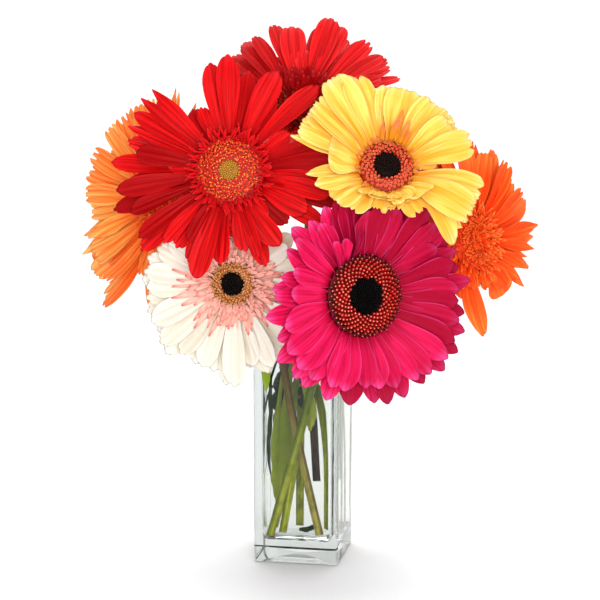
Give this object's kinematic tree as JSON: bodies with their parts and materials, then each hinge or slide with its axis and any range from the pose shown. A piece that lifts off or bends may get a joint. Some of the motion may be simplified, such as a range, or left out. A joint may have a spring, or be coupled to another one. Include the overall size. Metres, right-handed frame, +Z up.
{
  "type": "gerbera flowers in a square glass vase",
  "caption": "Cut gerbera daisies in mixed warm colours, standing in a tall square clear glass vase with water, as one upright arrangement.",
  "frame": {"origin": "middle of the vase's underside", "axes": "+Z up; the vase's sides are parallel to X and Y; the flowers face mostly towards -Y"},
  "size_m": [0.2545, 0.1707, 0.2934],
  "materials": {
    "stem_green": "fresh green stalk with fine hairs, satin",
    "calyx_green": "green bracts, matte",
    "red_front_petal": "crimson petal tissue, soft satin, lit through",
    "red_front_trans": "short petals round the middle, soft satin",
    "red_front_disc": "small tube florets, matte",
    "red_front_eye": "closed floret buds, matte",
    "yellow_petal": "yellow petal tissue, soft satin, lit through",
    "yellow_trans": "short petals round the middle, soft satin",
    "yellow_disc": "small tube florets, matte",
    "yellow_eye": "closed floret buds, matte",
    "magenta_petal": "magenta petal tissue, soft satin, lit through",
    "magenta_trans": "short petals round the middle, soft satin",
    "magenta_disc": "small tube florets, matte",
    "magenta_eye": "closed floret buds, matte",
    "white_petal": "white petal tissue, soft satin, lit through",
    "white_trans": "short petals round the middle, soft satin",
    "white_disc": "small tube florets, matte",
    "white_eye": "closed floret buds, matte",
    "orange_right_petal": "deep orange petal tissue, soft satin, lit through",
    "orange_right_trans": "short petals round the middle, soft satin",
    "orange_right_disc": "small tube florets, matte",
    "orange_right_eye": "closed floret buds, matte",
    "orange_left_petal": "light orange petal tissue, soft satin, lit through",
    "orange_left_trans": "short petals round the middle, soft satin",
    "orange_left_disc": "small tube florets, matte",
    "orange_left_eye": "closed floret buds, matte",
    "red_back_petal": "dark red petal tissue, soft satin, lit through",
    "red_back_trans": "short petals round the middle, soft satin",
    "red_back_disc": "small tube florets, matte",
    "red_back_eye": "closed floret buds, matte",
    "leaf_green": "leaf, satin upper side",
    "vase_glass": "clear pressed glass, polished",
    "water": "clear still water"
  },
  "bodies": {
    "root": {"red_front_stem": "stem_green", "red_front_calyx": "calyx_green", "red_front_outer_petals": "red_front_petal", "red_front_inner_petals": "red_front_petal", "red_front_trans_florets": "red_front_trans", "red_front_disc_florets": "red_front_disc", "red_front_disc_eye": "red_front_eye", "yellow_stem": "stem_green", "yellow_calyx": "calyx_green", "yellow_outer_petals": "yellow_petal", "yellow_inner_petals": "yellow_petal", "yellow_trans_florets": "yellow_trans", "yellow_disc_florets": "yellow_disc", "yellow_disc_eye": "yellow_eye", "magenta_stem": "stem_green", "magenta_calyx": "calyx_green", "magenta_outer_petals": "magenta_petal", "magenta_inner_petals": "magenta_petal", "magenta_trans_florets": "magenta_trans", "magenta_disc_florets": "magenta_disc", "magenta_disc_eye": "magenta_eye", "white_stem": "stem_green", "white_calyx": "calyx_green", "white_outer_petals": "white_petal", "white_inner_petals": "white_petal", "white_trans_florets": "white_trans", "white_disc_florets": "white_disc", "white_disc_eye": "white_eye", "orange_right_stem": "stem_green", "orange_right_calyx": "calyx_green", "orange_right_outer_petals": "orange_right_petal", "orange_right_inner_petals": "orange_right_petal", "orange_right_trans_florets": "orange_right_trans", "orange_right_disc_florets": "orange_right_disc", "orange_right_disc_eye": "orange_right_eye", "orange_left_stem": "stem_green", "orange_left_calyx": "calyx_green", "orange_left_outer_petals": "orange_left_petal", "orange_left_inner_petals": "orange_left_petal", "orange_left_trans_florets": "orange_left_trans", "orange_left_disc_florets": "orange_left_disc", "orange_left_disc_eye": "orange_left_eye", "red_back_stem": "stem_green", "red_back_calyx": "calyx_green", "red_back_outer_petals": "red_back_petal", "red_back_inner_petals": "red_back_petal", "red_back_trans_florets": "red_back_trans", "red_back_disc_florets": "red_back_disc", "red_back_disc_eye": "red_back_eye", "leaf_fresh": "leaf_green", "leaf_broad": "leaf_green", "leaf_dark": "leaf_green", "leaf_fallen": "leaf_green", "vase": "vase_glass", "water": "water"}
  },
  "joints": []
}
